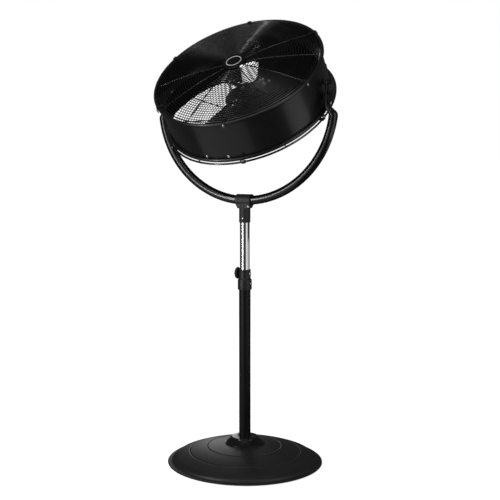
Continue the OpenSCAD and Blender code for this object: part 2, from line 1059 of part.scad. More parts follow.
module control_box() {
    wall = 2;
    color("#1e1e1f")
        in_head()
            difference() {
                translate([-box_w / 2, -box_l / 2, box_back])
                    cube([box_w, box_l, box_front - box_back - 0.2]);
                translate([-box_w / 2 + wall, -box_l / 2 + wall, box_back - 1])
                    cube([box_w - 2 * wall, box_l - 2 * wall, box_front - box_back - wall + 0.8]);
                both_sides()
                    for (y = [-bar_bolt_y, bar_bolt_y])
                        translate([bar_x, y, box_back - 1])
                            cylinder(r = 5, h = box_front - box_back + 2);
            }
}

module control_lid() {
    color("#1a1a1b")
        in_head()
            difference() {
                translate([-box_w / 2, -box_l / 2, box_back - lid_t])
                    cube([box_w, box_l, lid_t]);
                translate([0, 0, box_back - 5])
                    cylinder(r = switch_r + 1, h = 8);
            }
}

module lid_screws() {
    color("#a5a7aa")
        in_head()
            both_sides()
                for (s = [-1, 1])
                    translate([box_w / 2 - 6, s * (box_l / 2 - 12), box_back - lid_t])
                        mirror([0, 0, 1])
                            pan_head(3, 2);
}

module speed_switch() {
    color("#d8d2c0")
        in_head()
            difference() {
                translate([-13, -13, box_back])
                    cube([26, 26, 16]);
                translate([0, 0, box_back - 1])
                    cylinder(r = switch_r + run_gap, h = 9);
            }
}

module run_capacitor() {
    color("#3a3a3d")
        in_head()
            translate([-36, 26, box_back + 1])
                cube([30, 20, 17]);
}

module terminal_block() {
    color("#cfc9b8")
        in_head()
            translate([-24, -38, box_back + 2])
                cube([48, 12, 12]);
}

// Strain relief on the lower side of the control box.
module cord_gland() {
    mid = (box_front + box_back) / 2;
    color("#161617")
        in_head()
            translate([20, -box_l / 2, mid])
                rotate([90, 0, 0])
                    difference() {
                        union() {
                            cylinder(r = 8, h = 4, $fn = 6);
                            translate([0, 0, 4])
                                cylinder(r1 = 7, r2 = 4.6, h = 14);
                        }
                        translate([0, 0, -1])
                            cylinder(r = 3.4, h = 20);
                    }
}

module switch_shaft() {
    color("#b9bbbe")
        in_head()
            translate([0, 0, switch_end])
                cylinder(r = switch_r, h = box_back + 7 - switch_end);
}

// Rotary knob behind the rear grille's centre, with a pointer ridge.
module speed_knob() {
    color("#151516")
        in_head()
            mirror([0, 0, 1])
                difference() {
                    union() {
                        translate([0, 0, -speed_knob_z])
                            cylinder(r = 19, h = 3);
                        translate([0, 0, 3 - speed_knob_z])
                            cylinder(r1 = 15, r2 = 13.5, h = 12);
                        translate([-2.5, -15, 3 - speed_knob_z])
                            cube([5, 30, 15]);
                    }
                    translate([0, 0, -speed_knob_z - 1])
                        cylinder(r = switch_r, h = 8.5);
                }
}

base_pad();
base_pan();
base_ballast();
base_shell();
base_cover();
pole_flange();
flange_bolts();
lower_pole();
height_collar();
collar_screws();
collar_bushing();
height_knob();
height_stud();
upper_tube();
foot_bushing();
tee_casting();
tee_fasteners();
yoke();
pivot_plates();
pivot_spacers();
pivot_bolts();
tilt_washers();
tilt_knob_right();
tilt_knob_left();
drum();
front_grille();
front_badge();
front_clips();
front_screws();
rear_grille();
rear_plate();
rear_clips();
rear_screws();
motor_bars();
bar_bolts();
motor_front_bell();
motor_rear_bell();
motor_bolts();
stator_core();
stator_windings();
front_bearing();
rear_bearing();
shaft();
rotor_core();
hub_spider();
hub_screw();
blade_1();
blade_2();
blade_3();
blade_rivets();
control_box();
control_lid();
lid_screws();
speed_switch();
run_capacitor();
terminal_block();
cord_gland();
switch_shaft();
speed_knob();
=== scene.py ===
import json
import math

import bmesh
import bpy
from mathutils import Euler, Matrix, Vector


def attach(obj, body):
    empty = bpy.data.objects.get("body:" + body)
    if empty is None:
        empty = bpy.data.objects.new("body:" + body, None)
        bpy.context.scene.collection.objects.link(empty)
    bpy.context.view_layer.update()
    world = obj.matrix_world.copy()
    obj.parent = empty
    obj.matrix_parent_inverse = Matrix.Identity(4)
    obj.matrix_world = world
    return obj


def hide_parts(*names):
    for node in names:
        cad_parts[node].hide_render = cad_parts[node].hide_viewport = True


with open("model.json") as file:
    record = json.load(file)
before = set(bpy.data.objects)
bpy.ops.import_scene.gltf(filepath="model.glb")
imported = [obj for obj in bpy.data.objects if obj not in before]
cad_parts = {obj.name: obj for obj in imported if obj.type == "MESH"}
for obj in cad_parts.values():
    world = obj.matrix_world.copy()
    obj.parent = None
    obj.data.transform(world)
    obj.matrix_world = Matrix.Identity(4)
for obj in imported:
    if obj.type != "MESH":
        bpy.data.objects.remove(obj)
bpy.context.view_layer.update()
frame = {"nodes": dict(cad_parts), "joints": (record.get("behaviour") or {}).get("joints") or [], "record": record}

# Sizes are in millimetres and scaled once, when a mesh is made. Blender's own unit is the metre.
MM = 0.001
TAU = 2 * math.pi

JOINTS = {joint["name"]: joint for joint in frame["joints"]}
PIVOT = Vector(JOINTS["head_tilt"]["pos_m"])
FRONT = -Vector(JOINTS["fan_spin"]["axis"]).normalized()
SIDE = Vector((1, 0, 0))
UP = FRONT.cross(SIDE)

# Head space: x along the tilt axis, y up the disc, z out of the front grille.
HEAD = Matrix((SIDE, UP, FRONT)).transposed().to_4x4()
HEAD.translation = PIVOT
UPRIGHT = Matrix.Identity(4)


# ------------------------------------------------------------ reading sizes off the frame

def extent(node, space=UPRIGHT):
    """Lowest and highest corners of a CAD node in a space, and its largest radius there, in millimetres."""
    inverse = space.inverted()
    points = [inverse @ v.co / MM for v in frame["nodes"][node].data.vertices]
    low = Vector([min(p[k] for p in points) for k in range(3)])
    high = Vector([max(p[k] for p in points) for k in range(3)])
    radii = [math.hypot(p.x, p.y) for p in points]
    return low, high, min(radii), max(radii)


# ------------------------------------------------------------ mesh helpers

def finish_mesh(name, verts, faces, space=UPRIGHT, sharp=35):
    """A smooth-shaded object from millimetre points, placed by a matrix."""
    mesh = bpy.data.meshes.new(name)
    mesh.from_pydata([Vector(v) * MM for v in verts], [], faces)
    mesh.validate()
    mesh.shade_smooth()
    mesh.set_sharp_from_angle(angle=math.radians(sharp))
    obj = bpy.data.objects.new(name, mesh)
    bpy.context.scene.collection.objects.link(obj)
    obj.matrix_world = space
    return obj


def outward(verts, faces):
    """Turns a closed shell's faces to point outwards."""
    bm = bmesh.new()
    points = [bm.verts.new(v) for v in verts]
    for face in faces:
        try:
            bm.faces.new([points[i] for i in face])
        except ValueError:
            continue
    bm.verts.index_update()
    bmesh.ops.recalc_face_normals(bm, faces=bm.faces)
    made = [[v.index for v in f.verts] for f in bm.faces]
    bm.free()
    return made


class Shell:
    """Gathers several closed shells into one mesh."""

    def __init__(self):
        self.verts = []
        self.faces = []

    def add(self, verts, faces, place=UPRIGHT):
        start = len(self.verts)
        self.verts += [place @ Vector(v) for v in verts]
        self.faces += [[i + start for i in face] for face in outward(verts, faces)]
        return self

    def make(self, name, space=UPRIGHT, sharp=35):
        return finish_mesh(name, self.verts, self.faces, space, sharp)


def fillet(points, closed=False, steps=5):
    """Rounds a polyline's corners. Each point is (x, y) or (x, y, radius)."""
    out = []
    count = len(points)
    for i, point in enumerate(points):
        radius = point[2] if len(point) > 2 else 0
        here = Vector(point[:2])
        if radius <= 0 or (not closed and i in (0, count - 1)):
            out.append(tuple(here))
            continue
        before = Vector(points[i - 1][:2]) - here
        after = Vector(points[(i + 1) % count][:2]) - here
        half = before.angle(after) / 2
        reach = min(radius / math.tan(half), before.length * 0.49, after.length * 0.49)
        start = here + before.normalized() * reach
        end = here + after.normalized() * reach
        for k in range(steps + 1):
            t = k / steps
            out.append(tuple((1 - t) ** 2 * start + 2 * t * (1 - t) * here + t * t * end))
    return out


def arc(cx, cy, r, a0, a1, steps=12):
    """Points on an arc, angles in degrees."""
    angles = [math.radians(a0 + (a1 - a0) * k / steps) for k in range(steps + 1)]
    return [(cx + r * math.cos(a), cy + r * math.sin(a)) for a in angles]


def lathe(profile, segments=96, warp=None):
    """Turns a closed (r, z) loop about Z. Points at r = 0 close the shell. warp(r, a, z) may move a point."""
    verts, rows = [], []
    for r, z in profile:
        if r < 1e-6:
            rows.append([len(verts)] * segments)
            verts.append((0, 0, z))
            continue
        rows.append(list(range(len(verts), len(verts) + segments)))
        for k in range(segments):
            a = TAU * k / segments
            rr, zz = warp(r, a, z) if warp else (r, z)
            verts.append((rr * math.cos(a), rr * math.sin(a), zz))
    faces = []
    for i, row in enumerate(rows):
        nxt = rows[(i + 1) % len(rows)]
        for k in range(segments):
            m = (k + 1) % segments
            face = []
            for index in (row[k], row[m], nxt[m], nxt[k]):
                if index not in face:
                    face.append(index)
            if len(face) > 2:
                faces.append(face)
    return verts, faces


def tube(path, radius, sides=12):
    """A round rod along a path of points. radius may be one number or one per point."""
    points = [Vector(p) for p in path]
    count = len(points)
    tangents = []
    for i in range(count):
        before, after = points[max(i - 1, 0)], points[min(i + 1, count - 1)]
        tangents.append((after - before).normalized())
    normal = tangents[0].orthogonal().normalized()
    verts, faces = [], []
    for i in range(count):
        normal = (normal - tangents[i] * normal.dot(tangents[i])).normalized()
        side = tangents[i].cross(normal)
        r = radius[i] if isinstance(radius, (list, tuple)) else radius
        for k in range(sides):
            a = TAU * k / sides
            verts.append(points[i] + (normal * math.cos(a) + side * math.sin(a)) * r)
    for i in range(count - 1):
        for k in range(sides):
            a, b = i * sides + k, i * sides + (k + 1) % sides
            faces.append([a, b, b + sides, a + sides])
    faces.append(list(range(sides)))
    faces.append(list(range((count - 1) * sides, count * sides)))
    return verts, faces


def torus(radius, wire, z, segments=180, sides=8):
    loop = [(radius + wire * math.cos(TAU * k / sides), z + wire * math.sin(TAU * k / sides))
            for k in range(sides)]
    return lathe(loop, segments)


def prism(outline, z0, z1, bevel=0.0):
    """A flat plate between z0 and z1 with an (x, y) outline and a small bevel on both faces."""
    def shrunk(amount):
        out = []
        for i, point in enumerate(outline):
            before = Vector(point) - Vector(outline[i - 1])
            after = Vector(outline[(i + 1) % len(outline)]) - Vector(point)
            n1 = Vector((before.y, -before.x)).normalized()
            n2 = Vector((after.y, -after.x)).normalized()
            n = n1 + n2
            n = n.normalized() / max(0.4, n.normalized().dot(n1)) if n.length > 1e-6 else n1
            out.append(Vector(point) - n * amount)
        return out

    levels = [(z0, bevel), (z0 + bevel, 0), (z1 - bevel, 0), (z1, bevel)] if bevel else [(z0, 0), (z1, 0)]
    verts, faces = [], []
    count = len(outline)
    for z, amount in levels:
        verts += [(p[0], p[1], z) for p in shrunk(amount)]
    for i in range(len(levels) - 1):
        for k in range(count):
            a, b = i * count + k, i * count + (k + 1) % count
            faces.append([a, b, b + count, a + count])
    faces.append(list(range(count)))
    faces.append(list(range((len(levels) - 1) * count, len(levels) * count)))
    return verts, faces


def rounded_rect(w, h, r, cx=0.0, cy=0.0, steps=5):
    out = []
    for sx, sy, a in ((1, 1, 0), (-1, 1, 90), (-1, -1, 180), (1, -1, 270)):
        out += arc(cx + sx * (w / 2 - r), cy + sy * (h / 2 - r), r, a, a + 90, steps)
    return out


def turned(axis, angle, x=0.0, y=0.0, z=0.0):
    """Translation after a rotation in degrees."""
    return Matrix.Translation((x, y, z)) @ Matrix.Rotation(math.radians(angle), 4, axis)


def around(first, index, count):
    """The turn about Z of one out of several evenly spaced things, clockwise from a first angle."""
    return Matrix.Rotation(math.radians(first - 360 / count * index), 4, "Z")


def spun(angle, place):
    """A placement turned about the head's axis, in degrees."""
    return Matrix.Rotation(math.radians(angle), 4, "Z") @ place


def screw_head(radius, height):
    """A pan head on z = 0 with a cross recess, as a radial grid whose recess is pressed in."""
    rings = [0.0, 0.12, 0.24, 0.36, 0.48, 0.6, 0.72, 0.84, 0.94, 1.0]
    segments = 32
    verts, rows = [], []
    for t in rings:
        z = height * math.sqrt(max(0.0, 1 - (t * 0.86) ** 2.6))
        row = []
        for k in range(segments):
            a = TAU * k / segments
            x, y = radius * t * math.cos(a), radius * t * math.sin(a)
            slot = min(abs(x), abs(y)) < radius * 0.13 and t < 0.62
            row.append(len(verts))
            verts.append((x, y, z - (height * 0.5 if slot else 0)))
            if t == 0.0:
                row = [row[0]] * segments
                break
        rows.append(row)
    rows.append(list(range(len(verts), len(verts) + segments)))
    verts += [(radius * math.cos(TAU * k / segments), radius * math.sin(TAU * k / segments), 0)
              for k in range(segments)]
    faces = []
    for i in range(len(rows) - 1):
        for k in range(segments):
            m = (k + 1) % segments
            face = []
            for index in (rows[i][k], rows[i][m], rows[i + 1][m], rows[i + 1][k]):
                if index not in face:
                    face.append(index)
            if len(face) > 2:
                faces.append(face)
    faces.append(rows[-1])
    return verts, faces


# ------------------------------------------------------------ materials

def material(name, color, metallic=0.0, roughness=0.5, **sockets):
    """A Principled material and a small kit for adding nodes to it."""
    mat = bpy.data.materials.new(name)
    mat.use_nodes = True
    tree = mat.node_tree
    shader = tree.nodes["Principled BSDF"]
    shader.inputs["Base Color"].default_value = (*color, 1)
    shader.inputs["Metallic"].default_value = metallic
    shader.inputs["Roughness"].default_value = roughness
    for key, value in sockets.items():
        shader.inputs[key.replace("_", " ").title().replace("Ior", "IOR")].default_value = value
    return mat, tree, shader


def pattern(tree, kind, scale, stretch=(1, 1, 1), **settings):
    """A texture node in the piece's own coordinates. Scale is in repeats per metre."""
    coord = tree.nodes.new("ShaderNodeTexCoord")
    mapping = tree.nodes.new("ShaderNodeMapping")
    mapping.inputs["Scale"].default_value = stretch
    tree.links.new(coord.outputs["Object"], mapping.inputs["Vector"])
    node = tree.nodes.new(kind)
    node.inputs["Scale"].default_value = scale
    for key, value in settings.items():
        node.inputs[key.replace("_", " ").title()].default_value = value
    tree.links.new(mapping.outputs["Vector"], node.inputs["Vector"])
    return node


def remap(tree, value, low, high, start=0.3, end=0.7):
    """Spreads a texture's value between low and high."""
    node = tree.nodes.new("ShaderNodeMapRange")
    node.inputs["From Min"].default_value = start
    node.inputs["From Max"].default_value = end
    node.inputs["To Min"].default_value = low
    node.inputs["To Max"].default_value = high
    tree.links.new(value, node.inputs["Value"])
    return node.outputs["Result"]


def tint(tree, shader, value, dark, light):
    """Colour that varies between two tones."""
    ramp = tree.nodes.new("ShaderNodeValToRGB")
    ramp.color_ramp.elements[0].position = 0.3
    ramp.color_ramp.elements[0].color = (*dark, 1)
    ramp.color_ramp.elements[1].position = 0.7
    ramp.color_ramp.elements[1].color = (*light, 1)
    tree.links.new(value, ramp.inputs["Fac"])
    tree.links.new(ramp.outputs["Color"], shader.inputs["Base Color"])


def uneven_gloss(tree, shader, value, low, high):
    """Roughness that follows a texture."""
    tree.links.new(remap(tree, value, low, high), shader.inputs["Roughness"])


def bump(tree, shader, layers):
    """Stacks bump layers, each (height socket, strength, distance in metres)."""
    last = None
    for height, strength, distance in layers:
        node = tree.nodes.new("ShaderNodeBump")
        node.inputs["Strength"].default_value = strength
        node.inputs["Distance"].default_value = distance
        tree.links.new(height, node.inputs["Height"])
        if last:
            tree.links.new(last, node.inputs["Normal"])
        last = node.outputs["Normal"]
    tree.links.new(last, shader.inputs["Normal"])


def scaled(color, factor):
    return tuple(c * factor for c in color)


def paint(name, color, roughness, peel=0.05, wave=0.0, coat=0.25, ior=1.5):
    """Sprayed enamel: orange peel, faint uneven gloss and, on wide sheets, a slow wave."""
    mat, tree, shader = material(
        name, color, roughness=roughness, coat_weight=coat, coat_roughness=0.12, ior=ior)
    slow = pattern(tree, "ShaderNodeTexNoise", 9, detail=3)
    fine = pattern(tree, "ShaderNodeTexNoise", 650, detail=2)
    tint(tree, shader, slow.outputs["Fac"], scaled(color, 0.8), scaled(color, 1.25))
    uneven_gloss(tree, shader, slow.outputs["Fac"], roughness - 0.05, roughness + 0.06)
    layers = [(fine.outputs["Fac"], peel, 0.0004)]
    if wave:
        sheet = pattern(tree, "ShaderNodeTexNoise", 5, detail=1)
        layers.append((sheet.outputs["Fac"], wave, 0.004))
    bump(tree, shader, layers)
    return mat


def powder_coat(name, color, roughness, grain, depth):
    """Textured powder coat: a fine pebbled skin with a low sheen."""
    mat, tree, shader = material(name, color, roughness=roughness)
    pebbles = pattern(tree, "ShaderNodeTexVoronoi", grain)
    cloud = pattern(tree, "ShaderNodeTexNoise", grain * 0.4, detail=4)
    slow = pattern(tree, "ShaderNodeTexNoise", 7, detail=3)
    tint(tree, shader, slow.outputs["Fac"], scaled(color, 0.78), scaled(color, 1.3))
    uneven_gloss(tree, shader, cloud.outputs["Fac"], roughness - 0.08, roughness + 0.1)
    bump(tree, shader, [(pebbles.outputs["Distance"], 0.5, depth), (cloud.outputs["Fac"], 0.4, depth)])
    return mat


def moulded(name, color, roughness, grain=1400, depth=0.00006):
    """Injection-moulded plastic with a spark-eroded grain and slight colour drift."""
    mat, tree, shader = material(name, color, roughness=roughness)
    grit = pattern(tree, "ShaderNodeTexNoise", grain, detail=4)
    slow = pattern(tree, "ShaderNodeTexNoise", 30, detail=3)
    tint(tree, shader, slow.outputs["Fac"], scaled(color, 0.85), scaled(color, 1.2))
    uneven_gloss(tree, shader, slow.outputs["Fac"], roughness - 0.06, roughness + 0.06)
    bump(tree, shader, [(grit.outputs["Fac"], 0.5, depth)])
    return mat


def metal(name, color, roughness, brush=0.0, stretch=(1, 1, 1), scale=500):
    """Bare or plated metal, with fine lines along the stretched direction."""
    mat, tree, shader = material(name, color, metallic=1.0, roughness=roughness)
    lines = pattern(tree, "ShaderNodeTexNoise", scale, stretch, detail=3)
    smudge = pattern(tree, "ShaderNodeTexNoise", 25, detail=3)
    tint(tree, shader, smudge.outputs["Fac"], scaled(color, 0.9), scaled(color, 1.05))
    uneven_gloss(tree, shader, smudge.outputs["Fac"], roughness * 0.8, roughness * 1.3)
    bump(tree, shader, [(lines.outputs["Fac"], brush or 0.02, 0.0001)])
    return mat


def cast(name, color, roughness):
    mat, tree, shader = material(name, color, metallic=0.7, roughness=roughness)
    grit = pattern(tree, "ShaderNodeTexNoise", 260, detail=6)
    slow = pattern(tree, "ShaderNodeTexNoise", 18, detail=4)
    tint(tree, shader, slow.outputs["Fac"], scaled(color, 0.6), scaled(color, 1.3))
    uneven_gloss(tree, shader, grit.outputs["Fac"], roughness - 0.1, roughness + 0.15)
    bump(tree, shader, [(grit.outputs["Fac"], 0.6, 0.0006)])
    return mat


def wound(name, color):
    """Varnished magnet wire laid in hoops round the axis."""
    mat, tree, shader = material(name, color, metallic=0.9, roughness=0.3)
    hoops = tree.nodes.new("ShaderNodeTexWave")
    hoops.wave_type = "RINGS"
    hoops.rings_direction = "Z"
    hoops.inputs["Scale"].default_value = 220
    hoops.inputs["Distortion"].default_value = 0.6
    coord = tree.nodes.new("ShaderNodeTexCoord")
    tree.links.new(coord.outputs["Object"], hoops.inputs["Vector"])
    tint(tree, shader, hoops.outputs["Fac"], scaled(color, 0.55), scaled(color, 1.1))
    bump(tree, shader, [(hoops.outputs["Fac"], 0.6, 0.0005)])
    return mat


MATERIALS = {
    "rubber": moulded("rubber_matt", (0.022, 0.022, 0.022), 0.75, 500, 0.0003),
    "base_black": powder_coat("base_powder_coat", (0.020, 0.020, 0.021), 0.42, 900, 0.00012),
    "gloss_black": moulded("gloss_black_plastic", (0.012, 0.012, 0.013), 0.16, 2500, 0.00001),
    "ballast_iron": cast("cast_iron", (0.12, 0.11, 0.10), 0.7),
    "dark_steel": metal("phosphated_steel", (0.09, 0.09, 0.095), 0.42, 0.05),
    "zinc_steel": metal("zinc_plate", (0.86, 0.87, 0.89), 0.34, 0.05),
    "pole_black": paint("pole_enamel", (0.008, 0.008, 0.009), 0.33, 0.06, coat=0.0, ior=1.3),
    "knob_black": moulded("knob_plastic", (0.017, 0.017, 0.018), 0.38),
    "bush_plastic": moulded("nylon", (0.045, 0.045, 0.047), 0.45),
    "chrome_tube": metal("chrome_plate", (0.80, 0.80, 0.81), 0.07, 0.02, (1, 1, 0.02), 900),
    "textured_black": powder_coat("coarse_powder_coat", (0.030, 0.029, 0.028), 0.48, 520, 0.0003),
    "yoke_black": paint("yoke_enamel", (0.006, 0.006, 0.007), 0.14, 0.05),
    "drum_black": paint("drum_enamel", (0.013, 0.013, 0.014), 0.28, 0.04, 0.25),
    "wire_black": paint("wire_enamel", (0.004, 0.004, 0.005), 0.18, 0.03, coat=0.6, ior=1.8),
    "badge_black": moulded("badge_gloss", (0.007, 0.007, 0.008), 0.12, 2500, 0.00001),
    "badge_white": moulded("badge_print", (0.76, 0.76, 0.76), 0.4, 2500, 0.00001),
    "blade_black": paint("blade_enamel", (0.004, 0.004, 0.005), 0.24, 0.04, 0.1, coat=0.0, ior=1.35),
    "motor_black": powder_coat("motor_powder_coat", (0.024, 0.024, 0.025), 0.45, 900, 0.0001),
    "lamination_steel": metal("laminations", (0.30, 0.30, 0.31), 0.4, 0.4, (0.05, 1, 1), 1500),
    "copper_winding": wound("magnet_wire", (0.48, 0.19, 0.08)),
    "cream_plastic": moulded("cream_plastic", (0.62, 0.58, 0.47), 0.4),
}


def dress(obj, slot, body, *nodes, look=None):
    """Gives a new piece its material, its body and the CAD nodes that it stands for."""
    obj.data.materials.clear()
    obj.data.materials.append(MATERIALS[look or slot])
    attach(obj, body)
    if nodes:
        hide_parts(*nodes)
    return obj


def dress_frame():
    """Every CAD node takes the material of its slot, and smooth shading with crisp edges."""
    slots = {row["node"]: row["material_slot"] for row in frame["record"]["subparts"]}
    for name, obj in frame["nodes"].items():
        obj.data.materials.clear()
        obj.data.materials.append(MATERIALS[slots[name]])
        obj.data.shade_smooth()
        obj.data.set_sharp_from_angle(angle=math.radians(30))


# ------------------------------------------------------------ base and column

def base_pieces():
    rim_r = extent("base_shell")[3]
    shell_top = extent("base_shell")[1].z
    lip_under = extent("base_shell")[0].z
    pole_r = extent("lower_pole")[3]
    curve, groove_r, bead_r = 600.0, 183.0, 122.0
    inner_r, wall_r, lip_in = pole_r + 1, rim_r - 31, rim_r - 14
    crown = shell_top + curve - math.sqrt(curve ** 2 - inner_r ** 2)

    def dome(r):
        return crown - curve + math.sqrt(curve ** 2 - r ** 2)

    def pressed(r):
        """Dome height with its two pressed rings: a groove at the wide one, a bead at the narrow one."""
        groove = -1.3 * math.exp(-((r - groove_r) / 1.7) ** 2)
        bead = 1.2 * math.exp(-((r - bead_r) / 1.8) ** 2)
        return dome(r) + groove + bead

    radii = [inner_r + k * (wall_r - inner_r) / 240 for k in range(241)]
    top = [(r, pressed(r)) for r in radii]
    skirt = fillet([
        top[-1],
        (lip_in - 4.6, lip_under + 11.6, 7),
        (lip_in - 0.4, lip_under + 4.4, 4),
        (rim_r - 2.2, lip_under + 2.6, 1),
        (rim_r, lip_under + 1.0, 0.8),
        (rim_r - 0.1, lip_under),
        (rim_r - 1.2, lip_under),
        (rim_r - 3.0, lip_under + 0.9),
        (lip_in - 1.6, lip_under + 2.8, 2),
        (lip_in - 6.0, lip_under + 9.8, 4),
        (wall_r, dome(wall_r) - 1.3),
    ])
    under = [(r, pressed(r) - 1.3) for r in reversed(radii[:-1])]
    shell = Shell().add(*lathe(top + skirt[1:] + under, 240))
    dress(shell.make("base_shell_formed"), "base_black", "stand", "base_shell")

    low, high, _, foot_r = extent("base_cover")
    foot_z, crown_z, top_r = low.z, high.z, 45.0
    profile = fillet([
        (pole_r + 0.25, crown_z, 0.6),
        (top_r - 1.6, crown_z - 1.6, 3.0),
        (top_r + 1.2, crown_z - 6, 2.5),
        (foot_r - 3.2, foot_z + 3.4, 3.2),
        (foot_r, foot_z + 2.4, 1.0),
        (foot_r, foot_z, 0.3),
        (foot_r - 3, foot_z + 0.2),
        (top_r - 1.6, crown_z - 7.4),
        (top_r - 3.4, crown_z - 4.4),
        (pole_r + 0.25, crown_z - 3.2),
    ], closed=True)
    dress(Shell().add(*lathe(profile, 160)).make("base_cover_moulded"), "gloss_black", "stand", "base_cover")


def pipe(name, outer, wall, z0, z1, slot, body, node):
    inner = outer - wall
    profile = fillet([(outer, z0, 0.5), (outer, z1, 0.5), (inner, z1, 0.5), (inner, z0, 0.5)], closed=True)
    return dress(Shell().add(*lathe(profile, 160)).make(name), slot, body, node)


def column_pieces():
    low, high, _, outer = extent("lower_pole")
    pipe("lower_pole_tube", outer, 1.5, low.z, high.z, "pole_black", "stand", "lower_pole")
    low, high, _, outer = extent("upper_tube")
    pipe("upper_tube_chromed", outer, 1.5, low.z, high.z, "chrome_tube", "mast", "upper_tube")
    collar_pieces()
    height_knob()


def collar_pieces():
    low, high, _, _ = extent("height_collar")
    pole_r = extent("lower_pole")[3]
    bush_r = extent("collar_bushing")[3]
    skirt_r, neck_r = high.y, pole_r + 0.3
    skirt_h, skirt_screw_h = 34.5, 20.5
    step = low.z + skirt_h
    pole_end = extent("lower_pole")[1].z
    profile = fillet([
        (pole_r + 0.05, low.z, 0.4),
        (skirt_r, low.z, 0.8),
        (skirt_r, step - 2.2, 2.4),
        (neck_r + 1.2, step + 0.4, 1.4),
        (neck_r, step + 2.4, 1.0),
        (neck_r, high.z - 3.4, 0.5),
        (neck_r + 0.7, high.z - 2.8, 0.5),
        (neck_r + 0.7, high.z, 0.9),
        (bush_r + 0.05, high.z, 0.6),
        (bush_r + 0.05, pole_end, 0.2),
        (pole_r + 0.05, pole_end, 0.2),
    ], closed=True)
    shell = Shell().add(*lathe(profile, 128))
    knob = extent("height_knob")
    knob_z = (knob[0].z + knob[1].z) / 2
    boss_end = -knob[1].x - 0.3
    boss = fillet([(4.2, boss_end, 0.3), (8.2, boss_end, 0.8), (9.4, 15, 0.3), (4.2, 15, 0.3)], closed=True)
    shell.add(*lathe(boss, 48), turned("Y", -90, z=knob_z))
    # A rib under the boss ties it to the skirt.
    rib = prism([(-20, step - 1), (-20, knob_z - 6), (-16, knob_z - 6), (-16, step - 1)], -2.2, 2.2, 0.5)
    shell.add(*rib, turned("X", 90))
    dress(shell.make("height_collar_moulded"), "knob_black", "stand", "height_collar")

    heads = Shell()
    heads.add(*screw_head(4.6, 3.2), turned("Y", 90, x=neck_r - 0.1, z=knob_z))
    heads.add(*screw_head(4.0, 2.8), turned("Y", 90, x=skirt_r - 0.2, z=low.z + skirt_screw_h))
    dress(heads.make("collar_screw_heads"), "zinc_steel", "stand", "collar_screws")


def height_knob():
    """A lobed clamp knob. Its axis runs along -X."""
    low, high, _, _ = extent("height_knob")
    z = (low.z + high.z) / 2
    back, face, radius = -high.x, -low.x, (high.z - low.z) / 2
    profile = fillet([
        (0, back + 0.2),
        (6, back + 0.2, 0.3),
        (radius - 4, back, 1.0),
        (radius - 0.3, back + 3.0, 1.2),
        (radius, face - 3.8, 1.2),
        (radius - 4.6, face - 0.4, 1.8),
        (8.4, face, 0.6),
        (7.6, face - 1.3, 0.4),
        (0, face - 1.3),
    ])

    def lobes(r, a, zz):
        grip = max(0.0, min(1.0, (r - radius * 0.55) / (radius * 0.4)))
        return r - grip * 2.6 * max(0.0, -math.cos(8 * a)) ** 1.6, zz

    shell = Shell().add(*lathe(profile, 128, lobes), turned("Y", -90, z=z))
    dress(shell.make("height_knob_lobed"), "knob_black", "height_clamp", "height_knob")


def copied(node):
    """A bmesh copy of a CAD node's mesh with its doubled points merged and its faces turned outwards."""
    bm = bmesh.new()
    bm.from_mesh(frame["nodes"][node].data)
    bmesh.ops.remove_doubles(bm, verts=bm.verts, dist=2e-6)
    bmesh.ops.recalc_face_normals(bm, faces=bm.faces)
    return bm


def link_mesh(name, mesh, sharp=35):
    mesh.shade_smooth()
    mesh.set_sharp_from_angle(angle=math.radians(sharp))
    obj = bpy.data.objects.new(name, mesh)
    bpy.context.scene.collection.objects.link(obj)
    return obj


def softened(node, name, width, corner=40):
    """A boxy CAD piece with its edges rounded over."""
    bm = copied(node)
    bmesh.ops.dissolve_limit(bm, angle_limit=math.radians(0.5), verts=bm.verts, edges=bm.edges)
    edges = [e for e in bm.edges if len(e.link_faces) == 2 and e.calc_face_angle() > math.radians(corner)]
    bmesh.ops.bevel(
        bm, geom=edges, offset=width * MM, segments=2, profile=0.5, affect="EDGES", clamp_overlap=True)
    mesh = bpy.data.meshes.new(name)
    bm.to_mesh(mesh)
    bm.free()
    return link_mesh(name, mesh)


def moulded_copy(node, name, voxel, passes):
    """A cast or moulded CAD piece with every edge rounded, through a fine voxel remesh."""
    bm = copied(node)
    mesh = bpy.data.meshes.new(name)
    bm.to_mesh(mesh)
    bm.free()
    obj = link_mesh(name, mesh)
    remesh = obj.modifiers.new("Remesh", "REMESH")
    remesh.mode = "VOXEL"
    remesh.voxel_size = voxel * MM
    smooth = obj.modifiers.new("Smooth", "SMOOTH")
    smooth.factor = 0.5
    smooth.iterations = passes
    return settled(obj, 180)


def settled(obj, sharp=35):
    """Applies an object's modifiers."""
    graph = bpy.context.evaluated_depsgraph_get()
    mesh = bpy.data.meshes.new_from_object(obj.evaluated_get(graph))
    obj.modifiers.clear()
    obj.data = mesh
    mesh.shade_smooth()
    mesh.set_sharp_from_angle(angle=math.radians(sharp))
    return obj


def cut_by(obj, shell, sharp=35):
    """Cuts a shell, given in the object's own space, out of an object."""
    cutter = shell.make("cutter", obj.matrix_world)
    boolean = obj.modifiers.new("Cut", "BOOLEAN")
    boolean.object = cutter
    boolean.solver = "EXACT"
    bpy.context.view_layer.update()
    settled(obj, sharp)
    bpy.data.objects.remove(cutter)
    return obj


def pivot_holes(radius, x, z=0.0):
    """Cutters for a round hole through each side, on the tilt axis or level with it."""
    reach = 8
    holes = Shell()
    for side in (-1, 1):
        bore = lathe([(0, -reach), (radius, -reach), (radius, reach), (0, reach)], 40)
        holes.add(*bore, turned("Y", 90, side * x, 0, z))
    return holes


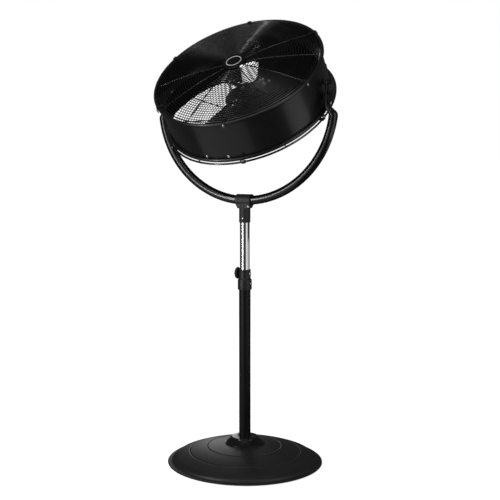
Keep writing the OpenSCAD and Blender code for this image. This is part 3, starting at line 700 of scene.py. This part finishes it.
def strip(path, thickness, width):
    """A bent flat strip. The path is in x and z, and the strip's width runs along y."""
    path = [Vector(p) for p in path]
    left, right = [], []
    for i, point in enumerate(path):
        a = path[max(i - 1, 0)]
        b = path[min(i + 1, len(path) - 1)]
        along = (b - a).normalized()
        n = Vector((-along.y, along.x)) * thickness / 2
        left.append(point + n)
        right.append(point - n)
    outline = left + right[::-1]
    verts, faces = prism([(p.x, p.y) for p in outline], -width / 2, width / 2, 0.15)
    return [(x, z, y) for x, y, z in verts], faces


# ------------------------------------------------------------ tee and yoke

def tee_pieces():
    obj = moulded_copy("tee_casting", "tee_casting_rounded", 0.7, 4)
    dress(obj, "textured_black", "mast", "tee_casting")
    heads = Shell()
    bolt_x, bolt_y, bolt_z = 22, -17.9, 850
    heads.add(*screw_head(4.4, 3.4), turned("X", 90, bolt_x, bolt_y, bolt_z))
    screw_r, screw_z, screw_angle = 18.4, 811, -85
    heads.add(*screw_head(3.1, 1.9), spun(screw_angle, turned("Y", 90, screw_r, 0, screw_z)))
    dress(heads.make("tee_screw_heads"), "zinc_steel", "mast", "tee_fasteners")


def yoke_piece():
    """One tube lofted from its flattened left end, round under the drum, to its flattened right end."""
    low, high, _, _ = extent("yoke")
    tube_r, tab_t, tab_w = 14.6, 6.0, 36.0
    tab_mid, crown = 287.0, high.z
    bottom = low.z + tube_r
    bend_r = 308.0
    centre_z = bottom + bend_r
    start_z = PIVOT.z / MM - 82
    flat_z = PIVOT.z / MM - 48
    # Exponents of the section's outline: nearly a rectangle, and a circle.
    flat_n, round_n = 9.0, 2.0
    drop = math.asin((centre_z - start_z) / bend_r)
    stations = []
    top_z = crown - tab_w / 2
    steps = 14
    for k in range(steps + 1):
        z = crown - 0.02 - (tab_w / 2 - 0.02) * (1 - math.cos(math.pi / 2 * k / steps))
        half = math.sqrt(max(0.04, (tab_w / 2) ** 2 - (z - top_z) ** 2))
        stations.append((tab_mid, z, tab_t / 2, half, flat_n))
    for k in range(1, 9):
        stations.append((tab_mid, top_z + (flat_z - top_z) * k / 8, tab_t / 2, tab_w / 2, flat_n))
    foot_x = bend_r * math.cos(drop)
    for k in range(1, 25):
        t = k / 24
        s = t * t * (3 - 2 * t)
        stations.append((
            tab_mid + (foot_x - tab_mid) * s,
            flat_z + (start_z - flat_z) * t,
            tab_t / 2 + (tube_r - tab_t / 2) * s,
            tab_w / 2 + (tube_r - tab_w / 2) * s,
            flat_n + (round_n - flat_n) * min(1.0, 1.6 * s),
        ))
    arc_steps = 110
    for k in range(1, arc_steps):
        a = -drop - (math.pi - 2 * drop) * k / arc_steps
        stations.append((bend_r * math.cos(a), centre_z + bend_r * math.sin(a), tube_r, tube_r, round_n))
    half_count = len(stations) - (arc_steps - 1)
    stations += [(-x, z, hx, hy, n) for x, z, hx, hy, n in reversed(stations[:half_count])]

    sides = 40
    verts, faces = [], []
    count = len(stations)
    for i, (x, z, hx, hy, n) in enumerate(stations):
        a, b = stations[max(i - 1, 0)], stations[min(i + 1, count - 1)]
        tangent = Vector((b[0] - a[0], 0, b[1] - a[1])).normalized()
        normal = Vector((-tangent.z, 0, tangent.x))
        for k in range(sides):
            t = TAU * k / sides
            c, s = math.cos(t), math.sin(t)
            u = math.copysign(abs(c) ** (2 / n), c) * hx
            v = math.copysign(abs(s) ** (2 / n), s) * hy
            verts.append(Vector((x, 0, z)) + normal * u + Vector((0, 1, 0)) * v)
    for i in range(count - 1):
        for k in range(sides):
            m = (k + 1) % sides
            faces.append([i * sides + k, i * sides + m, (i + 1) * sides + m, (i + 1) * sides + k])
    faces.append(list(range(sides)))
    faces.append(list(range((count - 1) * sides, count * sides)))
    obj = Shell().add(verts, faces).make("yoke_tube_formed", sharp=50)
    cut_by(obj, pivot_holes(5.1, tab_mid, PIVOT.z / MM), 50)
    dress(obj, "yoke_black", "mast", "yoke")


def pivot_pieces():
    for side in ("right", "left"):
        node = "tilt_knob_" + side
        obj = moulded_copy(node, node + "_moulded", 0.6, 4)
        dress(obj, "knob_black", side + "_tilt_clamp", node)
    dress(softened("pivot_plates", "pivot_plates_pressed", 0.5), "drum_black", "head", "pivot_plates")


# ------------------------------------------------------------ drum and grilles

def drum_piece():
    low, high, inner, _ = extent("drum", HEAD)
    sheet, curl = 1.0, 5.5
    wall_r, wall_rear = 269.0, -62.0
    mid = wall_r + curl
    front, rear = high.z - curl, wall_rear + curl
    profile = arc(mid, front, curl, 180, -165, 26) + arc(mid, front, curl - sheet, -165, 180, 26)
    profile += [(wall_r + sheet, front - 12 - k * (front - rear - 24) / 8) for k in range(9)]
    profile += [(x, 2 * rear - z) for x, z in arc(mid, rear, curl - sheet, 180, -165, 26)]
    profile += [(x, 2 * rear - z) for x, z in arc(mid, rear, curl, -165, 180, 26)]
    profile += [(wall_r, rear + 12 + k * (front - rear - 24) / 8) for k in range(9)]
    shell = Shell().add(*lathe(profile, 256))
    # The turned-in edge that narrows the drum's rear mouth.
    edge = fillet([
        (inner, low.z + 1.6, 0.4),
        (inner, low.z, 0.5),
        (mid + 1, low.z, 0.3),
        (mid + 1, low.z + 1.4, 0.3),
        (inner + 2.4, low.z + 1.4, 0.5),
        (inner + 1.2, low.z + 2.6, 0.4),
        (inner, low.z + 2.6, 0.5),
    ], closed=True)
    shell.add(*lathe(edge, 256))
    obj = shell.make("drum_rolled", HEAD)
    cut_by(obj, pivot_holes(5.05, wall_r + sheet / 2))
    dress(obj, "drum_black", "head", "drum")


def dome_height(r, rim_r, rise):
    curve = (rim_r ** 2 + rise ** 2) / (2 * rise)
    return math.sqrt(curve ** 2 - r ** 2) - math.sqrt(curve ** 2 - rim_r ** 2)


DOME_RISE = 30.0
FIRST_RING_R, RING_PITCH = 44.0, 8.4
RING_WIRE, RIB_WIRE = 1.2, 1.8
RIBS, FIRST_RIB = 12, -15
CLIPS = 6
FRONT_CLIP, REAR_CLIP = -17, -13


def grille_shell(rim_r, rings, rim_wire, base_z, flip):
    """Rings on a dome and ribs on their inner side that run out to the rim wire, all as round wire."""
    shell = Shell()
    face = Matrix.Diagonal((1, 1, -1, 1)) if flip else UPRIGHT
    lift = Matrix.Translation((0, 0, base_z)) @ face
    for i in range(rings):
        r = FIRST_RING_R + RING_PITCH * i
        shell.add(*torus(r, RING_WIRE, dome_height(r, rim_r, DOME_RISE), 168, 8), lift)
    shell.add(*torus(rim_r, rim_wire, 0, 192, 12), lift)
    start, end, weld = 35.0, rim_r - 1.5, 0.35
    steps = 24
    for i in range(RIBS):
        path = []
        for k in range(steps + 1):
            r = start + (end - start) * k / steps
            path.append((r, 0, dome_height(r, rim_r, DOME_RISE) - RING_WIRE - RIB_WIRE + weld))
        place = lift @ around(FIRST_RIB, i, RIBS)
        shell.add(*tube(path, RIB_WIRE, 10), place)
    return shell


def badge_pieces():
    """A plain domed disc with a raised ring on it."""
    low, _, _, radius = extent("front_badge", HEAD)
    shoulder = low.z + 3.2
    profile = fillet([
        (0, low.z),
        (radius, low.z, 0.4),
        (radius, low.z + 1.8, 0.8),
        (radius - 3.4, shoulder, 1.4),
    ])
    profile += [(radius - 5 - k * 2, shoulder + 0.9 * math.sin(math.pi / 2 * k / 16)) for k in range(17)]
    profile.append((0, shoulder + 0.95))
    disc = Shell().add(*lathe(profile, 128)).make("front_badge_plain", HEAD)
    dress(disc, "badge_black", "head", "front_badge")

    outer_r, inner_r = 25.2, 22.8
    outline = fillet([
        (outer_r, shoulder),
        (outer_r, shoulder + 1.4, 0.3),
        (inner_r, shoulder + 1.5, 0.3),
        (inner_r, shoulder),
    ], closed=True)
    ring = Shell().add(*lathe(outline, 128)).make("front_badge_ring", HEAD)
    dress(ring, "badge_black", "head", look="badge_white")


def clip_pieces(end, path, first, screw_place):
    """Six bent clips round a rim, each held by one screw."""
    clips, screws = Shell(), Shell()
    for i in range(CLIPS):
        place = around(first, i, CLIPS)
        clips.add(*strip(path, 1.2, 12), place)
        screws.add(*screw_head(3.7, 3.0), place @ screw_place)
    dress(clips.make(end + "_clips_bent", HEAD), "drum_black", "head", end + "_clips")
    dress(screws.make(end + "_screw_heads", HEAD), "zinc_steel", "head", end + "_screws")


def front_grille_pieces():
    low, _, _, outer = extent("front_grille", HEAD)
    rim_wire = 2.2
    rim_r = outer - rim_wire
    rim_z = low.z + rim_wire
    shell = grille_shell(rim_r, 26, rim_wire, rim_z, False)
    dress(shell.make("front_grille_wire", HEAD, 60), "wire_black", "head", "front_grille")
    badge_pieces()

    top = extent("drum", HEAD)[1].z
    reach = extent("drum", HEAD)[3]
    path = fillet([
        (rim_r - 6, top - 1.6),
        (rim_r - 4.2, top + 0.9, 1),
        (reach + 0.9, top + 0.9, 2.2),
        (reach + 0.9, top - 14.5, 0),
        (reach + 2.2, top - 16.5),
    ])
    clip_pieces("front", path, FRONT_CLIP, turned("Y", 90, reach + 1.5, 0, top - 8))


def rear_grille_pieces():
    _, high, _, outer = extent("rear_grille", HEAD)
    rim_wire = 3.2
    rim_r = outer - 4.0
    rim_z = high.z - 1.6
    shell = grille_shell(rim_r, 27, rim_wire, rim_z, True)
    dress(shell.make("rear_grille_wire", HEAD, 60), "wire_black", "head", "rear_grille")

    low, high, inner, outer = extent("rear_plate", HEAD)
    outline = fillet([
        (inner, high.z, 0.3),
        (inner, low.z, 0.5),
        (outer - 3, low.z, 1.2),
        (outer, low.z + 1.2, 0.8),
        (outer, high.z, 0.3),
    ], closed=True)
    plate = Shell().add(*lathe(outline, 128)).make("rear_plate_pressed", HEAD)
    dress(plate, "wire_black", "head", "rear_plate")

    back = rim_z - rim_wire - 0.9
    side_r = rim_r + 4.6
    path = fillet([(rim_r - 12, back), (side_r, back, 2.2), (side_r, back + 17.5)])
    clip_pieces("rear", path, REAR_CLIP, turned("Y", 90, side_r + 0.6, 0, back + 12))


# ------------------------------------------------------------ motor and rotor

def bell_piece(node, name, flip):
    low, high, _, radius = extent(node, HEAD)
    depth = high.z - low.z
    wall, shaft_hole = 2.5, 8.0
    profile = fillet([
        (radius, 0, 0.4),
        (radius, depth - 5, 0.3),
        (radius - 5, depth, 4),
        (26, depth, 1),
        (24.5, depth + 0.8, 0.6),
        (shaft_hole, depth + 0.8, 0.4),
        (shaft_hole, depth - wall, 0.2),
        (16, depth - wall),
        (16, depth - wall - 9),
        (19, depth - wall - 9),
        (19, depth - wall, 0.3),
        (radius - 7, depth - wall, 3),
        (radius - wall, depth - 7, 0.5),
        (radius - wall, 0, 0.3),
    ], closed=True)
    face = Matrix.Diagonal((1, 1, -1, 1)) if flip else UPRIGHT
    place = Matrix.Translation((0, 0, high.z if flip else low.z)) @ face
    obj = Shell().add(*lathe(profile, 144), place).make(name, HEAD)
    vents = Shell()
    for i in range(8):
        outline = rounded_rect(24, 9, 4.4, 40, 0)
        vents.add(*prism(outline, depth - wall - 1.5, depth + 1.5),
                  place @ Matrix.Rotation(TAU * i / 8, 4, "Z"))
    cut_by(obj, vents)
    dress(obj, "motor_black", "head", node)


def motor_pieces():
    bell_piece("motor_front_bell", "motor_front_bell_cast", False)
    bell_piece("motor_rear_bell", "motor_rear_bell_cast", True)
    coils = Shell()
    low, high, inner, outer = extent("stator_windings", HEAD)
    mid = (inner + outer) / 2
    slots, steps, span, bulge = 12, 8, 0.46, 1.5
    for z in (high.z - 3, low.z + 3):
        for i in range(slots):
            path = []
            for k in range(steps + 1):
                r = mid + bulge * math.sin(math.pi * k / steps)
                a = TAU * i / slots + 0.03 + span * k / steps
                path.append((r * math.cos(a), r * math.sin(a), z))
            coils.add(*tube(path, [2.2, 2.8, 2.9, 2.95, 2.95, 2.95, 2.9, 2.8, 2.2], 14))
    dress(coils.make("stator_coils_wound", HEAD), "copper_winding", "head", "stator_windings")
    dress(softened("motor_bars", "motor_bars_formed", 0.6), "drum_black", "head", "motor_bars")


ROOT_R, TIP_R, BLADE_T = 60.0, 254.0, 1.5
LEAD, TRAIL_FIRST, SWEEP = 29.0, 23.0, 40.0
# Heights of the leading and trailing edges over the disc at the root, and their change out to the tip.
LEAD_Z, LEAD_FALL = -1, 23
TRAIL_Z, TRAIL_RISE = 34, 26
BLADE_ANGLES = (27.5, -92.5, -212.5)


def trail_angle(r):
    """Angle of the trailing edge behind the blade's root."""
    return TRAIL_FIRST + SWEEP * math.log(r / 53)


def blade_height(r, a):
    """Height of the blade's middle surface over the disc at a radius and an angle ahead of its root."""
    trail = trail_angle(r)
    share = (r - ROOT_R) / (TIP_R - ROOT_R)
    v = (LEAD - a) / (LEAD + trail)
    lead_z = LEAD_Z - LEAD_FALL * share
    trail_z = TRAIL_Z + TRAIL_RISE * share
    return lead_z + (trail_z - lead_z) * (0.75 * v + 0.25 * v * v)


def blade_at(r, a):
    return Vector((r * math.cos(math.radians(a)), -r * math.sin(math.radians(a)), blade_height(r, a)))


def blade_normal(r, a):
    du = blade_at(r + 0.5, a) - blade_at(r - 0.5, a)
    dv = blade_at(r, a + 0.2) - blade_at(r, a - 0.2)
    n = du.cross(dv).normalized()
    return n if n.z > 0 else -n


def tuck(u, size):
    return size * (1 - math.sqrt(max(0.0, 1 - max(0.0, (u - 1 + size) / size) ** 2)))


def blade_piece(index, angle):
    rows, cols = 60, 64
    verts, faces = [], []
    for side in (1, -1):
        for i in range(rows + 1):
            u = i / rows
            r = ROOT_R + (TIP_R - ROOT_R) * u
            shrink = tuck(u, 0.12) + tuck(1 - u, 0.1)
            a0, a1 = -trail_angle(r) * (1 - shrink), LEAD * (1 - 0.5 * shrink)
            for j in range(cols + 1):
                a = a0 + (a1 - a0) * j / cols
                edge = min(i, rows - i, j, cols - j)
                half = BLADE_T / 2 * (0.55 if edge == 0 else 1)
                verts.append(blade_at(r, a) + blade_normal(r, a) * half * side)
    width = cols + 1
    layer = (rows + 1) * width
    for i in range(rows):
        for j in range(cols):
            a = i * width + j
            faces.append([a, a + 1, a + width + 1, a + width])
            faces.append([a + layer, a + width + layer, a + width + 1 + layer, a + 1 + layer])
    rim = [j for j in range(cols)] + [i * width + cols for i in range(rows)]
    rim += [rows * width + j for j in range(cols, 0, -1)] + [i * width for i in range(rows, 0, -1)]
    for k, a in enumerate(rim):
        b = rim[(k + 1) % len(rim)]
        faces.append([a, b, b + layer, a + layer])
    shell = Shell().add(verts, faces, Matrix.Rotation(math.radians(angle), 4, "Z"))
    name = f"blade_{index}"
    dress(shell.make(name + "_pressed", HEAD, 60), "blade_black", "rotor", name)


def rotor_pieces():
    rivets = Shell()
    for index, angle in enumerate(BLADE_ANGLES, 1):
        blade_piece(index, angle)
        for r, a in ((68, -6), (68, 6), (84, 0)):
            n = blade_normal(r, a)
            dome = fillet([(0, 0), (3.8, 0), (3.6, 0.9, 0.3), (2.2, 2.0, 0.8), (0, 2.3)])
            upright = n.to_track_quat("Z", "Y").to_matrix().to_4x4()
            place = Matrix.Translation(blade_at(r, a) + n * 0.9) @ upright
            rivets.add(*lathe(dome, 32), Matrix.Rotation(math.radians(angle), 4, "Z") @ place)
    dress(rivets.make("blade_rivets_domed", HEAD), "zinc_steel", "rotor", "blade_rivets")
    obj = moulded_copy("hub_spider", "hub_spider_pressed", 0.8, 3)
    dress(obj, "dark_steel", "rotor", "hub_spider")


# ------------------------------------------------------------ controls

def control_pieces():
    dress(softened("control_box", "control_box_drawn", 1.2), "motor_black", "head", "control_box")
    dress(softened("control_lid", "control_lid_drawn", 0.6), "motor_black", "head", "control_lid")
    dress(softened("run_capacitor", "run_capacitor_moulded", 1.5), "gloss_black", "head", "run_capacitor")
    low, high, _, radius = extent("speed_knob", HEAD)
    top, face = high.z, low.z
    profile = fillet([
        (0, top - 8.2),
        (3.05, top - 8.2),
        (3.05, top, 0.3),
        (radius - 0.4, top, 0.5),
        (radius, top - 2.6, 0.8),
        (15.4, top - 3.4, 0.6),
        (13.8, face + 1.2, 1.2),
        (0, face),
    ])

    def fluted(r, a, z):
        share = max(0.0, min(1.0, (r - 10) / 4)) if z < top - 3.6 else 0.0
        return r - share * 0.7 * (0.5 + 0.5 * math.cos(24 * a)), z

    knob = Shell().add(*lathe(profile, 192, fluted))
    ridge = rounded_rect(5, 28, 2.2, 0, 0)
    knob.add(*prism(ridge, face - 0.1, top - 3.2, 0.6))
    dress(knob.make("speed_knob_moulded", HEAD), "knob_black", "speed_control", "speed_knob")


# ------------------------------------------------------------ camera, floor and light

CAMERA_AZIMUTH = 27.3
CAMERA_DISTANCE = 3.247
CAMERA_HEIGHT = 1.0556
CAMERA_PITCH = -6.13
# The camera looks slightly to the left of the column, and a small lens shift brings the column back.
CAMERA_HEADING = 1.63
CAMERA_SHIFT = 0.0672
CAMERA_ROLL = -0.2


def photo_camera():
    data = bpy.data.cameras.new("photo_camera")
    data.lens = 72.18
    data.sensor_width = 36
    data.shift_x = CAMERA_SHIFT
    camera = bpy.data.objects.new("photo_camera", data)
    turn = math.radians(CAMERA_AZIMUTH)
    camera.location = (CAMERA_DISTANCE * math.sin(turn), -CAMERA_DISTANCE * math.cos(turn), CAMERA_HEIGHT)
    facing = Euler((math.radians(90 + CAMERA_PITCH), 0, turn + math.radians(CAMERA_HEADING))).to_matrix()
    camera.rotation_euler = (facing @ Matrix.Rotation(math.radians(CAMERA_ROLL), 3, "Z")).to_euler()
    bpy.context.scene.collection.objects.link(camera)
    bpy.context.scene.camera = camera


def softbox(name, azimuth, distance, height, width, tall, brightness, aim=0.8):
    """An area light round the column, at an angle from the camera's side, that looks at a height on it."""
    turn = math.radians(CAMERA_AZIMUTH + azimuth)
    data = bpy.data.lights.new(name, "AREA")
    data.shape = "RECTANGLE"
    data.size, data.size_y = width, tall
    data.energy = brightness * math.pi * width * tall
    light = bpy.data.objects.new(name, data)
    light.location = (distance * math.sin(turn), -distance * math.cos(turn), height)
    towards = Vector((0, 0, aim)) - light.location
    light.rotation_euler = towards.to_track_quat("-Z", "Y").to_euler()
    light.visible_camera = False
    bpy.context.scene.collection.objects.link(light)


def studio():
    bpy.context.scene.view_settings.view_transform = "Standard"
    reach = 60000
    corners = [(-reach, -reach, 0), (reach, -reach, 0), (reach, reach, 0), (-reach, reach, 0)]
    floor = finish_mesh("studio_floor", corners, [[0, 1, 2, 3]])
    mat, tree, shader = material("pale_floor", (0.9, 0.9, 0.9), roughness=0.9)
    shader.inputs["Emission Color"].default_value = (1, 1, 1, 1)
    cloud = pattern(tree, "ShaderNodeTexNoise", 3, detail=2)
    tint(tree, shader, cloud.outputs["Fac"], (0.88, 0.88, 0.88), (0.92, 0.92, 0.92))
    # The floor glows a little less round the base, darker towards it: painted shade round the base, so that the
    # base's own cast shade also shows there.
    painted_shade_pool = tree.nodes.new("ShaderNodeTexGradient")
    painted_shade_pool.gradient_type = "SPHERICAL"
    place = tree.nodes.new("ShaderNodeMapping")
    place.inputs["Scale"].default_value = (0.9, 0.9, 0.9)
    coord = tree.nodes.new("ShaderNodeTexCoord")
    tree.links.new(coord.outputs["Object"], place.inputs["Vector"])
    tree.links.new(place.outputs["Vector"], painted_shade_pool.inputs["Vector"])
    tree.links.new(remap(tree, painted_shade_pool.outputs["Fac"], 1.0, 0.86, 0.0, 0.7), shader.inputs["Emission Strength"])
    floor.data.materials.append(mat)
    floor.visible_glossy = False
    floor.visible_diffuse = False

    world = bpy.data.worlds.new("studio_world")
    bpy.context.scene.world = world
    world.use_nodes = True
    tree = world.node_tree
    tree.nodes.clear()
    path = tree.nodes.new("ShaderNodeLightPath")
    seen = tree.nodes.new("ShaderNodeBackground")
    seen.inputs["Color"].default_value = (1, 1, 1, 1)
    seen.inputs["Strength"].default_value = 1.0
    ambient = tree.nodes.new("ShaderNodeBackground")
    ambient.inputs["Color"].default_value = (1, 1, 1, 1)
    ambient.inputs["Strength"].default_value = 0.04
    mix = tree.nodes.new("ShaderNodeMixShader")
    out = tree.nodes.new("ShaderNodeOutputWorld")
    tree.links.new(path.outputs["Is Camera Ray"], mix.inputs["Fac"])
    tree.links.new(ambient.outputs["Background"], mix.inputs[1])
    tree.links.new(seen.outputs["Background"], mix.inputs[2])
    tree.links.new(mix.outputs["Shader"], out.inputs["Surface"])

    softbox("softbox_left", -48, 2.6, 1.3, 2.2, 2.9, 0.8, 1.1)
    softbox("softbox_right", 47, 2.6, 1.3, 2.1, 2.9, 0.8, 1.1)
    softbox("softbox_top", -12, 1.3, 3.0, 2.0, 0.5, 3.6, 1.1)
    softbox("strip_left", -56, 2.3, 1.4, 0.14, 2.2, 14.0, 1.3)
    softbox("edge_light", -172, 2.4, 1.1, 0.5, 1.8, 1.6, 1.1)
    softbox("right_card", 88, 2.0, 0.25, 1.3, 0.8, 0.55, 1.2)
    softbox("floor_card", -60, 0.8, 0.02, 1.6, 1.6, 0.25, 1.2)


dress_frame()
base_pieces()
column_pieces()
tee_pieces()
yoke_piece()
pivot_pieces()
drum_piece()
front_grille_pieces()
rear_grille_pieces()
motor_pieces()
rotor_pieces()
control_pieces()
studio()
photo_camera()
